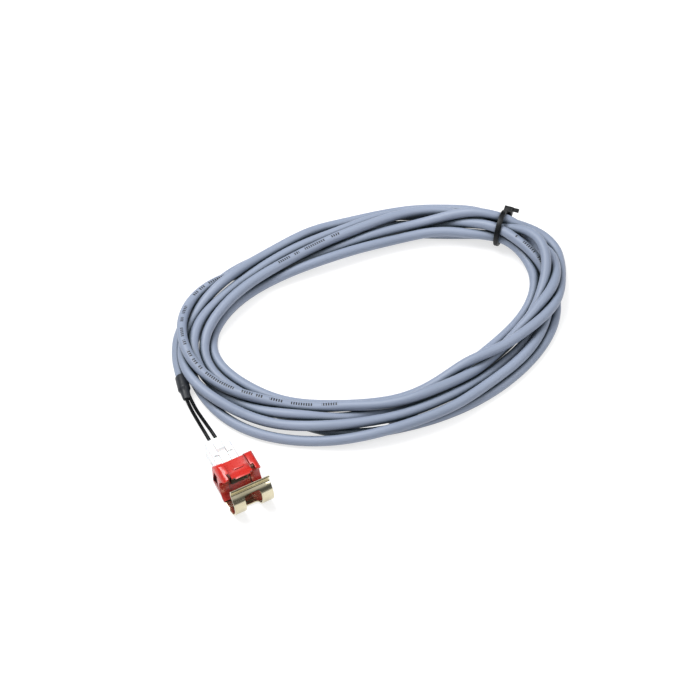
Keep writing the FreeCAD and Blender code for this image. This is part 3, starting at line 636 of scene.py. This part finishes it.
# ---------------------------------------------------------------- cable tie
TIE = Vector((176.25, 74.16, 9.05))
TDIR = Vector((0.68755264, -0.72613454, 0.0))
BV = Vector((0.72613454, 0.68755264, 0.0))
HD = (BV * 0.985 + Vector((0, 0, 0.17))).normalized()
SD = TDIR.cross(HD)


def tie_mesh():
    bm = bmesh.new()
    N = 72
    prof = [(-1.25, 0.0), (-1.25, 0.62), (-1.05, 0.92), (-0.5, 1.0), (0.5, 1.0), (1.05, 0.92), (1.25, 0.62), (1.25, 0.0)]
    rings = []
    for k in range(N):
        a = 2 * math.pi * k / N
        d = HD * math.cos(a) + SD * math.sin(a)
        rings.append([bm.verts.new((TIE + TDIR * x + d * (7.97 + h)) * MM) for x, h in prof])
    for k in range(N):
        A, B = rings[k], rings[(k + 1) % N]
        for j in range(len(prof)):
            j2 = (j + 1) % len(prof)
            bm.faces.new((A[j], B[j], B[j2], A[j2]))
    # fine teeth across the band's outside
    for k in range(0, 360, 4):
        a = math.radians(k)
        if k < 24 or k > 336:
            continue
        d = HD * math.cos(a) + SD * math.sin(a)
        t = -HD * math.sin(a) + SD * math.cos(a)
        c = TIE + d * 8.97
        q = [c + TDIR * sx * 0.85 + t * st * 0.11 + d * sd for sd in (-0.03, 0.045) for sx, st in ((-1, -1), (1, -1), (1, 1), (-1, 1))]
        v = [bm.verts.new(p * MM) for p in q]
        for f in ((4, 5, 6, 7), (0, 1, 5, 4), (1, 2, 6, 5), (2, 3, 7, 6), (3, 0, 4, 7)):
            bm.faces.new([v[i] for i in f])

    def block(cen, ex, ey, ez, lx, ly, lz, ch):
        """Chamfered block about cen with half sizes lx, ly, lz."""
        tmp = bmesh.new()
        bmesh.ops.create_cube(tmp, size=1.0)
        for v in tmp.verts:
            v.co = Vector((v.co.x * 2 * lx, v.co.y * 2 * ly, v.co.z * 2 * lz))
        bmesh.ops.bevel(tmp, geom=list(tmp.edges), offset=ch, segments=3, affect="EDGES", profile=0.6)
        off = {}
        for v in tmp.verts:
            off[v] = bm.verts.new((cen + ex * v.co.x + ey * v.co.y + ez * v.co.z) * MM)
        for f in tmp.faces:
            bm.faces.new([off[v] for v in f.verts])
        tmp.free()

    hc = TIE + HD * (7.95 + 1.0 - 0.4 + 1.7) + TDIR * 1.0
    # the head: two cheeks, two ends and a pawl in the slot between them
    block(hc + TDIR * 1.75, TDIR, SD, HD, 0.45, 2.3, 1.7, 0.25)
    block(hc - TDIR * 1.75, TDIR, SD, HD, 0.45, 2.3, 1.7, 0.25)
    block(hc - SD * 1.65, TDIR, SD, HD, 1.45, 0.65, 1.68, 0.2)
    block(hc + SD * 1.8, TDIR, SD, HD, 1.45, 0.5, 1.68, 0.2)
    block(hc + SD * 0.1 - HD * 0.2, TDIR, (SD + HD * 0.35).normalized(), HD, 1.3, 0.75, 0.5, 0.12)
    # the tail, cut off above the head
    block(hc + TDIR * 2.5 + SD * 0.8 + HD * 1.1, TDIR, SD, HD, 2.5, 0.48, 0.95, 0.14)
    bmesh.ops.recalc_face_normals(bm, faces=bm.faces)
    me = bpy.data.meshes.new("tie")
    bm.to_mesh(me)
    bm.free()
    return me


tie = link("tie", tie_mesh(), M_TIE, None, 30)
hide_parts("cable_tie")
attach(tie, "lead")

# ---------------------------------------------------------------- moulded body, plug and latch
body = from_cad("body_moulding", "housing", M_RED, "head", width=0.14)
plug = from_cad("plug_moulding", "plug_housing", M_WHITE, "lead", width=0.16)
latch = from_cad("latch_lever", "plug_latch", M_WHITE, "latch", width=0.12)

# ---------------------------------------------------------------- sprung clip, one sheet across its bend
def clip_mesh():
    T, RM, W2 = 0.6, 7.9, 9.5
    # the middle line in (y, z) from the pipe axis: tang, floor, arc, lip
    line = [(8.5, -4.0), (8.5, -6.9)]
    for k in range(1, 9):
        a = math.radians(90 * k / 8)
        line.append((7.5 + math.cos(a), -6.9 - math.sin(a)))
    line += [(5.4, -7.9), (3.0, -7.9), (0.8, -7.9)]
    for d in range(-90, 63, 3):
        a = math.radians(d)
        line.append((-RM * math.cos(a), RM * math.sin(a)))
    a = math.radians(62)
    ey, ez = -RM * math.cos(a), RM * math.sin(a)
    line += [(ey + 0.02, ez + 0.30), (ey - 0.03, ez + 0.65), (ey - 0.10, ez + 1.2), (ey - 0.16, ez + 2.2), (ey - 0.22, 10.2),
             (ey - 0.38, 10.65), (ey - 0.62, 11.0), (ey - 0.80, 11.2)]
    s = [0.0]
    for p, q in zip(line[:-1], line[1:]):
        s.append(s[-1] + math.hypot(q[0] - p[0], q[1] - p[1]))

    def at(u):
        u = min(max(u, 0.0), s[-1])
        for i in range(len(s) - 1):
            if u <= s[i + 1]:
                t = (u - s[i]) / (s[i + 1] - s[i])
                return (line[i][0] + (line[i + 1][0] - line[i][0]) * t, line[i][1] + (line[i + 1][1] - line[i][1]) * t)
        return line[-1]

    def s_of(deg):
        base = [i for i, p in enumerate(line) if abs(p[0]) < 1e-6 and abs(p[1] + RM) < 1e-6][0]
        return s[base] + math.radians(deg + 90) * RM

    s_full = next(si for si, p in zip(s, line) if p == (5.4, -7.9))
    s_top = s[-1]

    def corner(cx, cy, r, a0, a1, n=6):
        return [(cx + r * math.cos(math.radians(a0 + (a1 - a0) * k / n)), cy + r * math.sin(math.radians(a0 + (a1 - a0) * k / n)))
                for k in range(n + 1)]

    r = 0.5
    tw = 4.4
    outer = [(-tw + 0.4, 0.0), (tw - 0.4, 0.0), (tw, 0.4), (tw, s_full - 0.3)] + [(tw + 0.3, s_full)] + \
        corner(W2 - r, s_full + r, r, -90, 0) + corner(W2 - 0.35, s_top - 0.35, 0.35, 0, 90) + \
        corner(-W2 + 0.35, s_top - 0.35, 0.35, 90, 180) + corner(-W2 + r, s_full + r, r, 180, 270) + \
        [(-tw - 0.3, s_full), (-tw, s_full - 0.3), (-tw, 0.4)]
    w0, w1, hw, cr = s_of(-68), s_of(46), 3.95, 1.5
    hole = corner(hw - cr, w1 - cr, cr, 0, 90) + corner(-hw + cr, w1 - cr, cr, 90, 180) + \
        corner(-hw + cr, w0 + cr, cr, 180, 270) + corner(hw - cr, w0 + cr, cr, 270, 360)
    cu = bpy.data.curves.new("tmp_sheet", "CURVE")
    cu.dimensions = "2D"
    cu.fill_mode = "BOTH"
    for loop in (outer, hole):
        sp = cu.splines.new("POLY")
        sp.points.add(len(loop) - 1)
        for p, q in zip(sp.points, loop):
            p.co = (q[0], q[1], 0.0, 1.0)
        sp.use_cyclic_u = True
    ob = bpy.data.objects.new("tmp_sheet", cu)
    scene.collection.objects.link(ob)
    dg = bpy.context.evaluated_depsgraph_get()
    dg.update()
    flat = bpy.data.meshes.new_from_object(ob.evaluated_get(dg))
    bpy.data.objects.remove(ob)
    bm = bmesh.new()
    bm.from_mesh(flat)
    bmesh.ops.remove_doubles(bm, verts=bm.verts, dist=1e-5)
    cuts = sorted(set([round(x, 4) for x in s[1:-1]]))
    for c in cuts:
        bmesh.ops.bisect_plane(bm, geom=list(bm.verts) + list(bm.edges) + list(bm.faces), dist=1e-6,
                               plane_co=(0, c, 0), plane_no=(0, 1, 0))
    for v in bm.verts:
        y, z = at(v.co.y)
        v.co = P(v.co.x, y, z)
    bmesh.ops.recalc_face_normals(bm, faces=bm.faces)
    me = bpy.data.meshes.new("clip")
    bm.to_mesh(me)
    bm.free()
    bpy.data.meshes.remove(flat)
    return me


clip = link("clip_sheet", clip_mesh(), M_CLIP, None)
sol = clip.modifiers.new("sheet", "SOLIDIFY")
sol.thickness = 0.6 * MM
sol.offset = 0.0
sol.use_even_offset = True
bv = clip.modifiers.new("edges", "BEVEL")
bv.width = 0.09 * MM
bv.segments = 2
bv.limit_method = "ANGLE"
bv.angle_limit = math.radians(50)
bpy.context.view_layer.update()
dg = bpy.context.evaluated_depsgraph_get()
cme = bpy.data.meshes.new_from_object(clip.evaluated_get(dg))
clip.modifiers.clear()
clip.data = cme
for p in cme.polygons:
    p.use_smooth = True
bpy.context.view_layer.objects.active = clip
clip.select_set(True)
bpy.ops.object.shade_smooth_by_angle(angle=math.radians(30))
clip.select_set(False)
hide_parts("clip_base", "clip_jaw")
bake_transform(clip)

# ---------------------------------------------------------------- hidden pieces keep the CAD shape
for nm, mt in (("contact_shoe", M_SHOE), ("thermistor_bead", M_BEAD), ("thermistor_leads", M_TIN), ("contact_pins", M_TIN),
               ("potting", M_POT), ("crimp_terminals", M_TIN)):
    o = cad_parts[nm]
    o.data.materials.clear()
    o.data.materials.append(mt)
